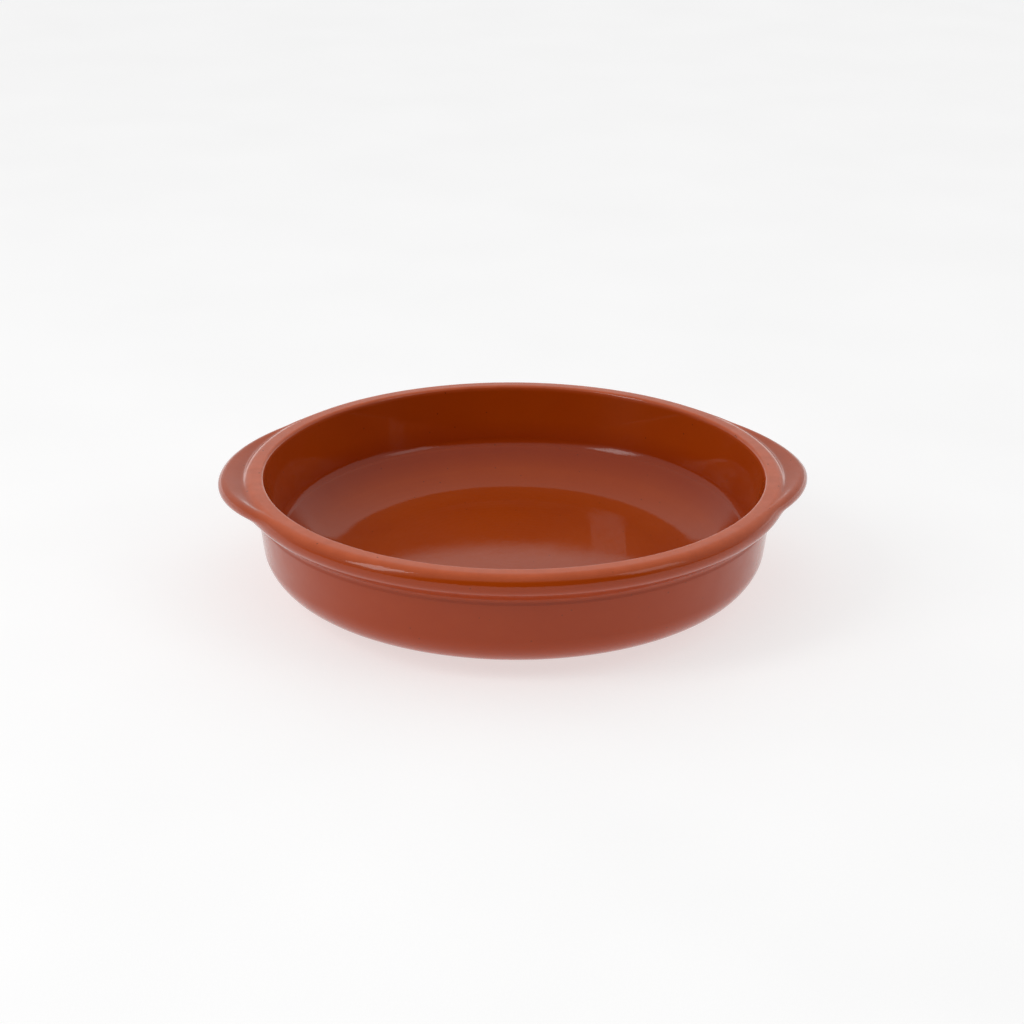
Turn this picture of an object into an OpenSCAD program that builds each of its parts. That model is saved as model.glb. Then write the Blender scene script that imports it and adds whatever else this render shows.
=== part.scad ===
/* [Dish] */
// Diameter across the widest part of the rim, without the ears
rim_d = 240; // [210:1:280]
// Height from the base to the top of the rim
height = 52; // [46:0.5:60]
// Thickness of the floor
floor_t = 8.5; // [6:0.25:11]

/* [Wall] */
// Thickness of the rim at the top
rim_w = 9.7; // [8:0.1:11]
// Lean of the inner wall from upright, in degrees
inner_lean = 13; // [9:0.5:15]
// Lean of the outer wall from upright, in degrees
outer_lean = 6.5; // [4:0.5:8]

/* [Foot] */
// Inset of the flat base from the widest part of the rim
foot_inset = 36; // [30:1:44]
// Rise of the foot's bevel from level, in degrees
foot_rise = 23.5; // [20:0.5:30]
// Radius of the shoulder between the bevel and the wall
shoulder_r = 16; // [8:0.5:20]
// Radius of the base's edge
base_round = 1.5; // [0.5:0.1:3]

/* [Rim band] */
// Radius of the rim's rounded outer edge
rim_round = 4.85; // [4:0.05:5]
// Radius of the rim's inner edge
lip_round = 1.6; // [0.8:0.1:2.4]
// Depth of the band below the top of the rim
band_h = 14.4; // [12:0.2:17]
// Inset of the wall from the widest part of the rim, under the band
band_inset = 6.8; // [5.6:0.1:7.8]
// Width of the groove between the band and the wall
groove_w = 1.8; // [1:0.1:3]
// Depth of that groove
groove_d = 0.7; // [0.3:0.1:1.2]
// Radius of the groove's edges and bottom
groove_round = 0.35; // [0.1:0.05:0.5]

/* [Bowl] */
// Inset of the flat floor's edge from the mouth
floor_inset = 43.5; // [38:0.5:47]
// Radius of the hollow that rises out of the floor
hollow_r = 50; // [46:1:60]
// Radius of the corner between the hollow and the wall
corner_r = 7; // [3:0.5:12]

/* [Ears] */
// Reach of each ear beyond the widest part of the rim
ear_reach = 10; // [6:0.5:16]
// Radius of each ear's outer edge, seen from above
ear_bow = 71; // [60:1:90]
// Depth of the ear's top below the top of the rim
ear_drop = 1.2; // [0.6:0.1:3]
// Fall of the ear's top from its edge to the wall
ear_dish = 2.4; // [0:0.1:4]
// Height of each ear's outer edge
ear_t = 8; // [6.5:0.1:9.5]
// Radius of the ear's upper and lower edges
ear_round = 3.8; // [1.5:0.1:4]

/* [Hidden] */
clay = "#A8502F";
sides = 180;
arc_step = 9;
// How far a cutter stands out past what it cuts
clear = 1;

rim_r = rim_d / 2;
inner_r = rim_r - rim_w;
neck_r = rim_r - band_inset;
neck_z = height - band_h;
groove_z = neck_z - groove_w;
groove_r = neck_r - groove_d;
// The band's underside leaves the neck and just touches the rim's round edge
edge_x = band_inset - rim_round;
edge_z = band_h - rim_round;
band_lean = asin(rim_round / norm([edge_x, edge_z])) + atan2(edge_x, edge_z);
band_tip_r = neck_r + band_h * tan(band_lean);
// The foot's bevel starts at the base's edge and meets the outer wall's line
base_r = rim_r - foot_inset;
shoulder_z = (neck_r - base_r - groove_z * tan(outer_lean))
    / (1 / tan(foot_rise) - tan(outer_lean));
shoulder_x = base_r + shoulder_z / tan(foot_rise);
// The hollow runs straight into the wall's corner: their middles and the point where they meet
// lie in one line, square to the slope there
hollow_to_wall = floor_inset * cos(inner_lean) + (floor_t + hollow_r - height) * sin(inner_lean);
slope = asin((hollow_to_wall - corner_r) / (hollow_r - corner_r)) - inner_lean;
slope_x = inner_r - floor_inset + hollow_r * tan(slope / 2);
rise = (inner_r - slope_x - (height - floor_t) * tan(inner_lean))
    / (1 / tan(slope) - tan(inner_lean));
slope_top_x = slope_x + rise / tan(slope);

// Corners of the section, from the axis round the outside and back: place and radius
SECTION = [
    [[0, 0], 0],
    [[base_r, 0], base_round],
    [[shoulder_x, shoulder_z], shoulder_r],
    [[neck_r, groove_z], groove_round],
    [[groove_r, groove_z + groove_w / 2], groove_round],
    [[neck_r, neck_z], groove_round],
    [[band_tip_r, height], rim_round],
    [[inner_r, height], lip_round],
    [[slope_top_x, floor_t + rise], corner_r],
    [[slope_x, floor_t], hollow_r],
    [[0, floor_t], 0]
];

// Section of the disc whose outer part is an ear: its underside slopes down to the neck,
// and its top falls a little towards the rim
ear_x = rim_r + ear_reach - ear_bow;
ear_top = height - ear_drop;
root_r = neck_r - ear_x;
EAR_SECTION = [
    [[0, neck_z], 0],
    [[root_r, neck_z], 0],
    [[ear_bow, ear_top - ear_t], ear_round],
    [[ear_bow, ear_top], ear_round],
    [[root_r, ear_top - ear_dish], 0],
    [[0, ear_top - ear_dish], 0]
];
// The ears end inside the wall, halfway between the mouth and the neck
wall_middle_r = (inner_r + neck_r) / 2;

function unit(v) = v / norm(v);
function turned(v, angle) =
    [v.x * cos(angle) - v.y * sin(angle), v.x * sin(angle) + v.y * cos(angle)];
// Turn of the outline at b on the way from a to c, above zero to the left
function turn(a, b, c) =
    atan2((b - a).x * (c - b).y - (b - a).y * (c - b).x, (b - a) * (c - b));
// Points of the arc of radius r that rounds the corner b
function arc(a, b, c, r) =
    let (sweep = turn(a, b, c),
         start = b + unit(a - b) * r * tan(abs(sweep) / 2),
         mid = start + sign(sweep) * r * turned(unit(b - a), 90),
         steps = ceil(abs(sweep) / arc_step))
        [for (i = [0 : steps]) mid + turned(start - mid, sweep * i / steps)];
// A closed outline with each corner rounded to its own radius
function rounded(corners) =
    let (n = len(corners))
        [for (i = [0 : n - 1])
            let (place = corners[i][0], r = corners[i][1],
                 last = corners[(i + n - 1) % n][0], next = corners[(i + 1) % n][0])
                each r > 0 ? arc(last, place, next, r) : [place]];

// The turned dish, from its section
module bowl() {
    rotate_extrude($fn = sides) polygon(rounded(SECTION));
}

// A ledge that stands out of the band on one side
module ear() {
    difference() {
        translate([ear_x, 0, 0]) rotate_extrude($fn = sides) polygon(rounded(EAR_SECTION));
        cylinder(r = wall_middle_r, h = height + clear, $fn = sides);
    }
}

module dish() {
    color(clay) {
        bowl();
        ear();
        mirror([1, 0, 0]) ear();
    }
}

dish();
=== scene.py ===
# Glazed earthenware dish with two ledge ears, on a pale studio floor
from math import asin, atan2, ceil, cos, degrees, hypot, pi, radians, sin, sqrt, tan

import bpy
import numpy as np
from mathutils import Matrix, Vector


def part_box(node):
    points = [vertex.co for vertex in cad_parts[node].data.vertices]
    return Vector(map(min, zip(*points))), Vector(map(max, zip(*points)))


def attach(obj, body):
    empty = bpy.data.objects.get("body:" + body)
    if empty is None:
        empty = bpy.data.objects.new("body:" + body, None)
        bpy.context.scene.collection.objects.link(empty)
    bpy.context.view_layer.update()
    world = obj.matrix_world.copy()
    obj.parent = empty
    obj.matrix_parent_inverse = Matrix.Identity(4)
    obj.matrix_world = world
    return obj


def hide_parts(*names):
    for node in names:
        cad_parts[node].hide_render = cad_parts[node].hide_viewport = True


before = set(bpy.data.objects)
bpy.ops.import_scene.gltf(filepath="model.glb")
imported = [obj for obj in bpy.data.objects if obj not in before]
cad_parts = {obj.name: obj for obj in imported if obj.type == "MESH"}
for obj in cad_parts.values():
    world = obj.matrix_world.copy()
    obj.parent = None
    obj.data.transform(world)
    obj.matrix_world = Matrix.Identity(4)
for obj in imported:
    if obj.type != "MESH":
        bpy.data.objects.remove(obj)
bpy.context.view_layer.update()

# Drawing sizes are in millimetres, and MM turns them into the scene's metres
MM = 0.001
low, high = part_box("dish")
rim_r = high.y / MM
height = high.z / MM
ear_reach = (high.x - high.y) / MM

# Section of the dish, with leans and the foot's rise in degrees
rim_w = 9.7
inner_lean = 13
outer_lean = 6.5
foot_inset = 36
foot_rise = 23.5
shoulder_r = 16
base_round = 1.5
floor_t = 8.5
rim_round = 4.85
lip_round = 1.6
band_h = 12.8
band_inset = 6.8
groove_w = 2.2
groove_d = 0.22
groove_round = 1.0
floor_inset = 43.5
hollow_r = 50
corner_r = 7

# How far each ear goes round the dish behind and before its middle, in degrees
ear_behind = 41
ear_before = 33.5
# Its reach falls off to the sides by these powers: the right ear has the sharper tip
ear_flat = 2.0
ear_flat_right = 1.65
ear_fade = 1.7
# Radius of its rolled edge and depth of the roll's middle below the rim, at middle and ends
ear_edge = 3.4
ear_edge_end = 2.2
ear_depth = 4.4
ear_depth_end = 2.6
# Its ends start this far inside the rim's edge, and its top meets the rim's round this far up
ear_start = 3.0
ear_root = 2.3
# Softness of the line where ear and band meet, and the angle over which it fades at the
# band's foot and at the top of the rim, in radians
valley_round = 1.4
VALLEY_FADE = 0.5

# Mesh: columns round the dish, rows of the flank, and the longest step along the rest
COLUMNS = 360
FLANK_ROWS = 70
BODY_STEP = 2
BASE_STEP = 12
BOWL_STEP = 1.7
# Steps of the section's arcs, in degrees: those of a radius under SMALL_ARC are coarser
ARC_STEP = 3
SMALL_ARC_STEP = 8
SMALL_ARC = 2
# Points of the plain flank, of the ear's rolled edge and of each side that leads to it
FLANK_POINTS = 400
EDGE_POINTS = 40
SIDE_POINTS = 30
# The underside is bare clay up to this height
BARE_TOP = 0.8


def unit(v):
    return v / hypot(*v)


def arc(a, b, c, r):
    """Points of the arc of radius r that rounds the corner b on the way from a to c."""
    u, v = b - a, c - b
    sweep = atan2(u[0] * v[1] - u[1] * v[0], u @ v)
    start = b - unit(u) * r * tan(abs(sweep) / 2)
    side = 1 if sweep > 0 else -1
    middle = start + side * r * np.array([-unit(u)[1], unit(u)[0]])
    step = SMALL_ARC_STEP if r < SMALL_ARC else ARC_STEP
    k = np.linspace(0, sweep, max(2, ceil(abs(degrees(sweep)) / step)) + 1)
    d = start - middle
    return np.c_[middle[0] + d[0] * np.cos(k) - d[1] * np.sin(k),
                 middle[1] + d[0] * np.sin(k) + d[1] * np.cos(k)]


def resample(points, count):
    """count points, evenly spaced along the line through points."""
    steps = np.hypot(*np.diff(points, axis=0).T)
    along = np.r_[0, np.cumsum(steps)]
    at = np.linspace(0, along[-1], count)
    return np.c_[np.interp(at, along, points[:, 0]), np.interp(at, along, points[:, 1])]


def filled(points, step):
    """The line through points, with points added so that no stretch is longer than step."""
    line = [points[:1]]
    for a, b in zip(points[:-1], points[1:]):
        count = ceil(hypot(*(b - a)) / step)
        line.append(a + (b - a) * np.arange(1, count + 1)[:, None] / max(count, 1))
    return np.vstack(line)


def section():
    """The turned section from the base round the outside to the floor: body, flank and bowl."""
    inner_r = rim_r - rim_w
    neck_r, neck_z = rim_r - band_inset, height - band_h
    edge_x, edge_z = band_inset - rim_round, band_h - rim_round
    band_lean = asin(rim_round / hypot(edge_x, edge_z)) + atan2(edge_x, edge_z)
    tip_r = neck_r + band_h * tan(band_lean)
    groove_z = neck_z - groove_w
    base_r = rim_r - foot_inset
    outer, foot = tan(radians(outer_lean)), tan(radians(foot_rise))
    shoulder_z = (neck_r - base_r - groove_z * outer) / (1 / foot - outer)
    lean = radians(inner_lean)
    to_wall = floor_inset * cos(lean) + (floor_t + hollow_r - height) * sin(lean)
    slope = asin((to_wall - corner_r) / (hollow_r - corner_r)) - lean
    slope_r = inner_r - floor_inset + hollow_r * tan(slope / 2)
    rise = (inner_r - slope_r - (height - floor_t) * tan(lean)) / (1 / tan(slope) - tan(lean))
    corners = [
        ((0, 0), 0),
        ((base_r, 0), base_round),
        ((base_r + shoulder_z / foot, shoulder_z), shoulder_r),
        ((neck_r, groove_z), groove_round),
        ((neck_r - groove_d, groove_z + groove_w / 2), groove_round),
        ((neck_r, neck_z), groove_round),
        ((tip_r, height), rim_round),
        ((inner_r, height), lip_round),
        ((slope_r + rise / tan(slope), floor_t + rise), corner_r),
        ((slope_r, floor_t), hollow_r),
        ((0, floor_t), 0),
    ]
    places = [np.array(place, float) for place, _ in corners]
    parts = [places[i][None] if r == 0 else
             arc(places[i - 1], places[i], places[(i + 1) % len(corners)], r)
             for i, (_, r) in enumerate(corners)]
    # Where the base's edge, the neck and the rim's round edge stand in that list
    edge, neck, rim = 1, 5, 6
    base = filled(np.vstack(parts[:edge + 1]), BASE_STEP)
    wall = filled(np.vstack([base[-1:]] + parts[edge + 1:neck + 1]), BODY_STEP)
    body = np.vstack([base, wall[1:]])
    flank = np.vstack([parts[neck][-1:], parts[rim]])
    bowl = filled(np.vstack([parts[rim][-1:]] + parts[rim + 1:]), BOWL_STEP)
    return body, flank, bowl


body, flank, bowl = section()
rim_centre = np.array([rim_r - rim_round, height - rim_round])


def polar(points):
    """Angle and distance of points from the centre of the rim's round edge."""
    d = points - rim_centre
    return np.unwrap(np.arctan2(d[:, 1], d[:, 0])), np.hypot(d[:, 0], d[:, 1])


FLANK_ANGLE, FLANK_REACH = polar(resample(flank, FLANK_POINTS))


def tangent(start, centre, r, side):
    """Where the line from start touches the circle of radius r about centre."""
    d = centre - start
    away = hypot(*d)
    if away <= r:
        return centre + np.array([0, side * r])
    angle = atan2(d[1], d[0]) + side * asin(r / away)
    return start + sqrt(away ** 2 - r ** 2) * np.array([cos(angle), sin(angle)])


def ear_section(share):
    """The ear's outline where its reach is that share of the whole, from the neck to the rim."""
    reach = (ear_reach + ear_start) * share - ear_start
    edge_r = ear_edge_end + (ear_edge - ear_edge_end) * share
    depth = ear_depth_end + (ear_depth - ear_depth_end) * share
    centre = np.array([rim_r + reach - edge_r, height - depth])
    below = flank[0]
    above = rim_centre + np.array([0, ear_root])
    first, last = tangent(below, centre, edge_r, -1), tangent(above, centre, edge_r, 1)
    a = atan2(*(first - centre)[::-1])
    b = atan2(*(last - centre)[::-1])
    k = np.linspace(a, b if b > a else b + 2 * pi, EDGE_POINTS)
    edge = centre + edge_r * np.c_[np.cos(k), np.sin(k)]
    return np.vstack([resample(np.vstack([below, first]), SIDE_POINTS), edge,
                      resample(np.vstack([last, above]), SIDE_POINTS)])


def flank_at(out, flat):
    """The section's flank from the neck to the top of the rim. At an ear's middle out is 0, and
    at its ends 1."""
    reach = FLANK_REACH
    if out < 1:
        share = (1 - out ** flat) ** ear_fade
        at, ear = polar(ear_section(share))
        order = np.argsort(at)
        ear = np.interp(FLANK_ANGLE, at[order], ear[order], right=0)
        near = np.clip(1 - np.abs(ear - reach) / valley_round, 0, 1)
        foot = np.clip((FLANK_ANGLE - FLANK_ANGLE[0]) / VALLEY_FADE, 0, 1)
        top = np.clip((FLANK_ANGLE[-1] - FLANK_ANGLE) / VALLEY_FADE, 0, 1)
        # A smooth maximum: its quarter of the softness is what it adds where the two are equal
        reach = np.maximum(reach, ear) + near ** 2 * valley_round / 4 * foot * top
    line = rim_centre + reach[:, None] * np.c_[np.cos(FLANK_ANGLE), np.sin(FLANK_ANGLE)]
    line[:, 1] = np.minimum(line[:, 1], height)
    return resample(line, FLANK_ROWS)


def dish_rows():
    """Radius and height of every mesh point, as (column, row, 2)."""
    lower, upper = body[:-1], bowl[1:]
    quarter = 90
    rows = []
    for i in range(COLUMNS):
        turn = 360 * i / COLUMNS
        half_turn = turn % (2 * quarter)
        ear_end = ear_behind if turn < 2 * quarter else ear_before
        out = min(half_turn, 2 * quarter - half_turn) / ear_end
        flat = ear_flat if quarter < turn < 3 * quarter else ear_flat_right
        rows.append(np.vstack([lower, flank_at(out, flat), upper]))
    return np.array(rows)


def make_dish():
    rows = dish_rows()
    count = rows.shape[1]
    angle = np.arange(COLUMNS) * 2 * pi / COLUMNS
    r, z = rows[:, :, 0], rows[:, :, 1]
    points = np.stack([r * np.cos(angle)[:, None], r * np.sin(angle)[:, None], z], -1) * MM
    ring = points[:, 1:-1]
    inside = count - 2
    verts = [points[0, 0]] + list(ring.reshape(-1, 3)) + [points[0, -1]]
    last = len(verts) - 1
    faces, bare = [], []
    under = z[0, 1:-1] < BARE_TOP
    for i in range(COLUMNS):
        a = 1 + i * inside
        b = 1 + (i + 1) % COLUMNS * inside
        faces.append((0, b, a))
        faces += [(a + j, b + j, b + j + 1, a + j + 1) for j in range(inside - 1)]
        faces.append((last, a + inside - 1, b + inside - 1))
        bare += [True, *under[1:] & under[:-1], False]
    mesh = bpy.data.meshes.new("dish_body")
    mesh.from_pydata([tuple(v) for v in verts], [], faces)
    mesh.update()
    mesh.polygons.foreach_set("use_smooth", [True] * len(mesh.polygons))
    mesh.materials.append(glaze_material())
    mesh.materials.append(bare_material())
    mesh.polygons.foreach_set("material_index", np.array(bare, int))
    dish = bpy.data.objects.new("dish_body", mesh)
    bpy.context.collection.objects.link(dish)
    return dish


# Blender's noise lies mostly in this span, which is stretched to 0 and 1
NOISE_SPAN = (0.3, 0.7)
# Share of a dot's radius that is at full strength
DOT_CORE = 0.6
# Rings of Blender's wave texture in one unit of length
WAVE_RINGS = 20 / (2 * pi)
# Blender's mix node has sockets for each kind of data. For colours these are its share and its
# two colours, and the colour that comes out
MIX_INPUTS = (0, 6, 7)
MIX_OUTPUT = 2


class Surface:
    """A material, with its nodes added by name and their sockets set or linked."""

    def __init__(self, name, **sockets):
        self.material = bpy.data.materials.new(name)
        self.material.use_nodes = True
        self.tree = self.material.node_tree
        self.shader = self.tree.nodes["Principled BSDF"]
        self.place = self.add("TexCoord").outputs["Object"]
        self.set(self.shader, **sockets)

    def set(self, node, **sockets):
        for name, value in sockets.items():
            self.join(node.inputs[name.replace("_", " ")], value)

    def join(self, socket, value):
        if isinstance(value, bpy.types.NodeSocket):
            self.tree.links.new(value, socket)
        else:
            socket.default_value = value

    def add(self, kind, **sockets):
        node = self.tree.nodes.new("ShaderNode" + kind)
        self.set(node, **sockets)
        return node

    def noise(self, size, detail=2.0):
        """Soft noise from 0 to 1 whose features are that many millimetres across."""
        node = self.add("TexNoise", Vector=self.place, Scale=1 / (size * MM), Detail=detail)
        return self.ramp(node.outputs["Fac"], *NOISE_SPAN)

    def ramp(self, value, start, end, low=0.0, high=1.0):
        node = self.add("MapRange", Value=value, From_Min=start, From_Max=end,
                        To_Min=low, To_Max=high)
        return node.outputs["Result"]

    def vary(self, size, low, high, detail=2.0):
        """The same noise, from low to high."""
        return self.ramp(self.noise(size, detail), 0, 1, low, high)

    def math(self, operation, *values):
        node = self.tree.nodes.new("ShaderNodeMath")
        node.operation = operation
        for socket, value in zip(node.inputs, values):
            self.join(socket, value)
        return node.outputs[0]

    def dots(self, spacing, size, share):
        """1 in round dots of that size, in that share of cells of that spacing, else 0."""
        cells = self.add("TexVoronoi", Vector=self.place, Scale=1 / (spacing * MM))
        edge = size / spacing
        dot = self.ramp(cells.outputs["Distance"], edge, DOT_CORE * edge)
        pick = self.add("SeparateColor", Color=cells.outputs["Color"]).outputs[0]
        return self.math("MULTIPLY", dot, self.math("LESS_THAN", pick, share))

    def rings(self, pitch, wander):
        """Turning marks from 0 to 1: rings round the axis, that many millimetres apart."""
        node = self.add("TexWave", Vector=self.place, Scale=1 / (pitch * MM) / WAVE_RINGS,
                        Distortion=wander, Detail=2.0, Detail_Scale=0.3)
        node.wave_type = "RINGS"
        node.rings_direction = "Z"
        return node.outputs["Fac"]

    def blend(self, share, a, b):
        node = self.tree.nodes.new("ShaderNodeMix")
        node.data_type = "RGBA"
        for index, value in zip(MIX_INPUTS, (share, a, b)):
            self.join(node.inputs[index], value)
        return node.outputs[MIX_OUTPUT]

    def bump(self, *layers):
        """A normal from layers: each a height from 0 to 1, and its depth in millimetres."""
        normal = None
        for level, depth in layers:
            node = self.add("Bump", Height=level, Distance=depth * MM)
            if normal:
                self.join(node.inputs["Normal"], normal)
            normal = node.outputs["Normal"]
        return normal


# Painted light: this near the top, in millimetres, the rim is painted lighter and pinker, standing
# in for the light and sheen on its up-facing top
LIT_TOP_DEPTH = 2.5
# Painted shade: the outer wall is painted darker and browner against the floor's light. It starts
# on a cone inside the wall: its radius at the top of the rim, how much that falls for each
# millimetre down, and the distances from it over which it fades in
OUTSIDE_TOP = 119
OUTSIDE_SLOPE = 0.71
OUTSIDE_FADE = (-1, 3)
# Between these heights, on the ears' tops that face up to the light, the painted shade falls to
# that share
EAR_TOP = (46, 50)
EAR_TOP_SHADE_SHARE = 0.4
# Fine grain blurs the reflections in the floor, from that share to none between these radii
FLOOR_GRAIN = (45, 95)
FLOOR_GRAIN_SHARE = 0.7

CLAY = (0.475, 0.065, 0.001, 1)
CLAY_DARK = (0.435, 0.054, 0.001, 1)
# Painted light: the lighter, pinker colour of the rim's up-facing top, standing in for its light
# and sheen
CLAY_LIT_TOP = (0.71, 0.130, 0.037, 1)
# Painted shade: the darker, browner colour of the outer wall and the ears' undersides
CLAY_PAINTED_SHADE = (0.39, 0.043, 0.001, 1)
SPECK = (0.24, 0.036, 0.003, 1)
BARE = (0.52, 0.17, 0.075, 1)
BARE_DARK = (0.40, 0.115, 0.045, 1)
GRIT = (0.62, 0.34, 0.20, 1)
WHITE = (1, 1, 1, 1)
FLOOR_PALE = (0.52, 0.52, 0.52, 1)
FLOOR_GREY = (0.49, 0.49, 0.49, 1)
# Strength of the floor's own light
FLOOR_LIGHT = 0.61


def glaze_material():
    """Orange-brown clay under clear glaze, with painted light and sheen on the rim's top and
    painted shade on the outer wall.
    """
    clay = Surface("glaze", Specular_IOR_Level=0.05, Coat_Weight=1.0, Coat_Roughness=0.035,
                   Coat_IOR=1.38)
    x, y, up = clay.add("SeparateXYZ", Vector=clay.place).outputs
    r = clay.math("SQRT", clay.math("ADD", clay.math("MULTIPLY", x, x),
                                    clay.math("MULTIPLY", y, y)))
    colour = clay.blend(clay.noise(size=45), CLAY, CLAY_DARK)
    colour = clay.blend(clay.vary(size=1.6, low=0, high=0.25, detail=4.0), colour, CLAY_DARK)
    # Painted light: the rim's top is painted lighter and pinker, for the light and sheen it
    # catches facing up
    top = clay.ramp(up, (height - LIT_TOP_DEPTH) * MM, height * MM)
    top_painted_light = clay.math("MULTIPLY", top, clay.vary(size=7, low=0.7, high=1))
    colour = clay.blend(top_painted_light, colour, CLAY_LIT_TOP)
    # Painted shade: the outer wall is painted darker and browner, less so on the ears' up-facing
    # tops
    cone = clay.ramp(up, 0, height * MM, (OUTSIDE_TOP - OUTSIDE_SLOPE * height) * MM,
                     OUTSIDE_TOP * MM)
    outside = clay.ramp(clay.math("SUBTRACT", r, cone), *(d * MM for d in OUTSIDE_FADE))
    less_shade_on_ear_tops = clay.ramp(up, *(d * MM for d in EAR_TOP), 1, EAR_TOP_SHADE_SHARE)
    painted_shade = clay.math("MULTIPLY", clay.math("MULTIPLY", outside, less_shade_on_ear_tops),
                        clay.vary(size=9, low=0.85, high=1))
    colour = clay.blend(painted_shade, colour, CLAY_PAINTED_SHADE)
    colour = clay.blend(clay.dots(spacing=4, size=0.45, share=0.2), colour, SPECK)
    inner = clay.ramp(r, *(d * MM for d in FLOOR_GRAIN), FLOOR_GRAIN_SHARE, 0)
    grainy = clay.math("MAXIMUM", clay.math("MAXIMUM", outside, top), inner)
    turning, grain = clay.rings(pitch=3.2, wander=3.0), clay.noise(size=0.5)
    waves, pits = clay.noise(size=24, detail=1.0), clay.dots(spacing=7, size=0.3, share=0.15)
    coat_grain = clay.math("MULTIPLY", clay.noise(size=0.9), grainy)
    clay.set(clay.shader, Base_Color=colour, Roughness=clay.vary(size=12, low=0.38, high=0.55),
             Normal=clay.bump((turning, 0.02), (grain, 0.012)),
             Coat_Normal=clay.bump((waves, 0.03), (pits, -0.03), (coat_grain, 0.02)))
    return clay.material


def bare_material():
    """The unglazed underside: matt fired clay with grit and turning marks."""
    clay = Surface("bare_clay", Specular_IOR_Level=0.25)
    colour = clay.blend(clay.noise(size=14, detail=4.0), BARE, BARE_DARK)
    colour = clay.blend(clay.vary(size=0.7, low=0, high=0.5, detail=3.0), colour, BARE_DARK)
    colour = clay.blend(clay.dots(spacing=1.8, size=0.4, share=0.25), colour, GRIT)
    turning, grain = clay.rings(pitch=2.4, wander=2.0), clay.noise(size=0.6, detail=3.0)
    clay.set(clay.shader, Base_Color=colour, Roughness=clay.vary(size=5, low=0.8, high=0.95),
             Normal=clay.bump((turning, 0.08), (grain, 0.06)))
    return clay.material


def floor_material():
    """Matt white board, a little lit from within so that it stays pale in the dish's shade."""
    board = Surface("floor", Roughness=0.9, Emission_Color=WHITE, Emission_Strength=FLOOR_LIGHT)
    colour = board.blend(board.noise(size=120), FLOOR_PALE, FLOOR_GREY)
    grain = board.noise(size=1.2, detail=3.0)
    board.set(board.shader, Base_Color=colour, Normal=board.bump((grain, 0.02)))
    return board.material


# Half the floor's side, in metres, and its height, in millimetres: a hair below the base
FLOOR_HALF = 40
FLOOR_Z = -0.1


def make_floor():
    mesh = bpy.data.meshes.new("floor")
    mesh.from_pydata([(x * FLOOR_HALF, y * FLOOR_HALF, FLOOR_Z * MM)
                      for x, y in ((-1, -1), (1, -1), (1, 1), (-1, 1))], [], [(0, 1, 2, 3)])
    floor = bpy.data.objects.new("floor", mesh)
    bpy.context.collection.objects.link(floor)
    mesh.materials.append(floor_material())


# Camera: side of the frame in pixels, millimetres to a pixel at the rim, distance in pixels,
# and the sensor's width
FRAME_PX = 1024
PX = 0.4412
VIEW_PX = 2000
SENSOR = 36
# Its angles in degrees, and the place of the rim's middle in the frame
view_down = 22.386
view_turn = 3.272
view_roll = 0.288
rim_at_px = (514.09, 466.47)


def make_camera():
    down = radians(view_down)
    right = Vector((1, 0, 0))
    forward = Vector((0, cos(down), -sin(down)))
    up = Vector((0, sin(down), cos(down)))
    across = (rim_at_px[0] - FRAME_PX / 2) * PX * MM
    above = (FRAME_PX / 2 - rim_at_px[1]) * PX * MM
    place = Vector((0, 0, height * MM)) - forward * VIEW_PX * PX * MM - right * across - up * above
    roll = radians(view_roll)
    side, top = right * cos(roll) + up * sin(roll), up * cos(roll) - right * sin(roll)
    turn = Matrix.Rotation(-radians(view_turn), 4, "Z")
    pose = Matrix((side, top, -forward)).transposed().to_4x4()
    pose.translation = place
    data = bpy.data.cameras.new("camera")
    data.sensor_fit = "HORIZONTAL"
    data.sensor_width = SENSOR
    data.lens = VIEW_PX / FRAME_PX * SENSOR
    data.clip_start = 0.05
    camera = bpy.data.objects.new("camera", data)
    bpy.context.collection.objects.link(camera)
    camera.matrix_world = turn @ pose
    bpy.context.scene.camera = camera


# How far the lamps stand from the dish, in metres
LAMP_DISTANCE = 1.3


def softbox(name, azimuth, elevation, size, radiance):
    """A soft lamp that looks at the dish. Azimuth is from the camera's side, to the right."""
    data = bpy.data.lights.new(name, "AREA")
    data.shape = "RECTANGLE"
    data.size, data.size_y = size
    data.energy = radiance * size[0] * size[1] * pi
    lamp = bpy.data.objects.new(name, data)
    bpy.context.collection.objects.link(lamp)
    a, e = radians(azimuth), radians(elevation)
    lamp.location = LAMP_DISTANCE * Vector((sin(a) * cos(e), -cos(a) * cos(e), sin(e)))
    lamp.rotation_euler = lamp.location.to_track_quat("Z", "Y").to_euler()
    lamp.visible_camera = False


def make_lights():
    softbox("left_box", azimuth=-65, elevation=39, size=(0.34, 0.7), radiance=4.2)
    softbox("right_box", azimuth=58, elevation=38, size=(0.5, 0.45), radiance=1.3)


# A white tent of this radiance lights the dish from all sides. Angles are in degrees: azimuth
# from the camera's side to the right, and elevation. It fades in over these elevations
TENT = 0.61
TENT_FOOT = (2, 12)
# It has a dark opening round the camera: middle, half size, and its soft edge as shares of that
OPENING_AT = (4, 8)
OPENING_HALF = (56, 42)
OPENING_EDGE = (0.8, 1.2)
# Light from low down at the sides and behind: elevations and azimuths over which it fades
GLOW = 1.4
GLOW_TOP = (3, 11)
GLOW_SIDES = (88, 122)
# What the camera sees past the floor's edge
BACKDROP = 0.95


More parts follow.
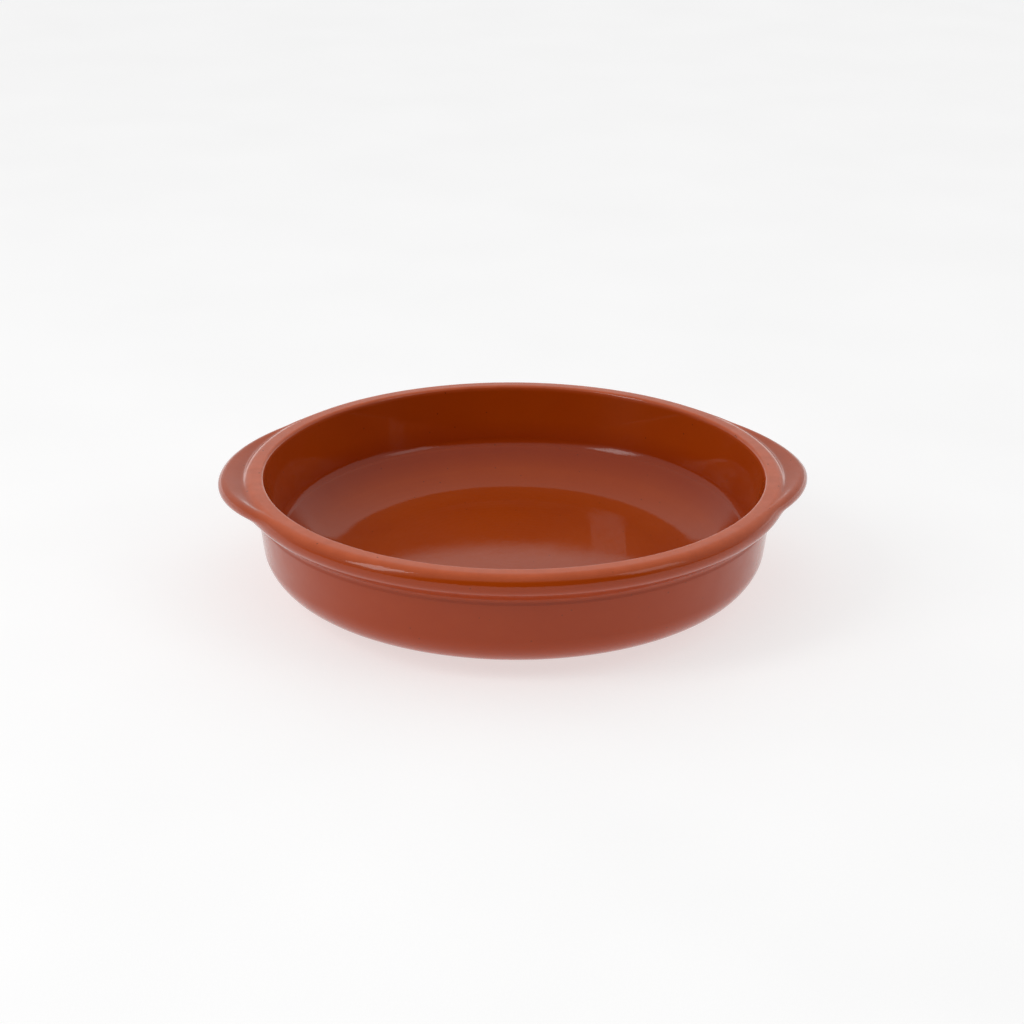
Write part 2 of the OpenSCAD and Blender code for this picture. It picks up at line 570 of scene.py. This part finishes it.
def make_world():
    world = bpy.data.worlds.new("studio")
    world.use_nodes = True
    bpy.context.scene.world = world
    nodes, links = world.node_tree.nodes, world.node_tree.links

    def ramp(value, start, end, low=0.0, high=1.0):
        node = nodes.new("ShaderNodeMapRange")
        node.interpolation_type = "SMOOTHSTEP"
        for name, number in (("From Min", start), ("From Max", end), ("To Min", low),
                             ("To Max", high)):
            node.inputs[name].default_value = number
        links.new(value, node.inputs["Value"])
        return node.outputs["Result"]

    def math(operation, *values):
        node = nodes.new("ShaderNodeMath")
        node.operation = operation
        for socket, value in zip(node.inputs, values):
            if isinstance(value, bpy.types.NodeSocket):
                links.new(value, socket)
            else:
                socket.default_value = value
        return node.outputs[0]

    direction = nodes.new("ShaderNodeTexCoord").outputs["Generated"]
    parts = nodes.new("ShaderNodeSeparateXYZ")
    links.new(direction, parts.inputs[0])
    azimuth = math("ARCTAN2", parts.outputs["X"], math("MULTIPLY", parts.outputs["Y"], -1))
    elevation = math("ARCSINE", parts.outputs["Z"])
    across, above = (
        math("DIVIDE", math("SUBTRACT", angle, radians(middle)), radians(half))
        for angle, middle, half in zip((azimuth, elevation), OPENING_AT, OPENING_HALF))
    away = math("SQRT", math("ADD", math("MULTIPLY", across, across),
                             math("MULTIPLY", above, above)))
    tent = math("MULTIPLY", ramp(away, *OPENING_EDGE, 0, TENT),
                ramp(elevation, *map(radians, TENT_FOOT)))
    aside = ramp(math("ABSOLUTE", azimuth), *map(radians, GLOW_SIDES))
    low = ramp(elevation, *map(radians, GLOW_TOP), GLOW, 0)
    seen = nodes.new("ShaderNodeLightPath").outputs["Is Camera Ray"]
    light = math("MULTIPLY", math("ADD", tent, math("MULTIPLY", aside, low)),
                 math("SUBTRACT", 1, seen))
    links.new(math("ADD", light, math("MULTIPLY", seen, BACKDROP)),
              nodes["Background"].inputs["Strength"])
    nodes["Background"].inputs["Color"].default_value = WHITE


bpy.context.scene.view_settings.view_transform = "Standard"
make_camera()
make_world()
make_lights()
make_floor()
dish = make_dish()
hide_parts("dish")
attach(dish, "root")
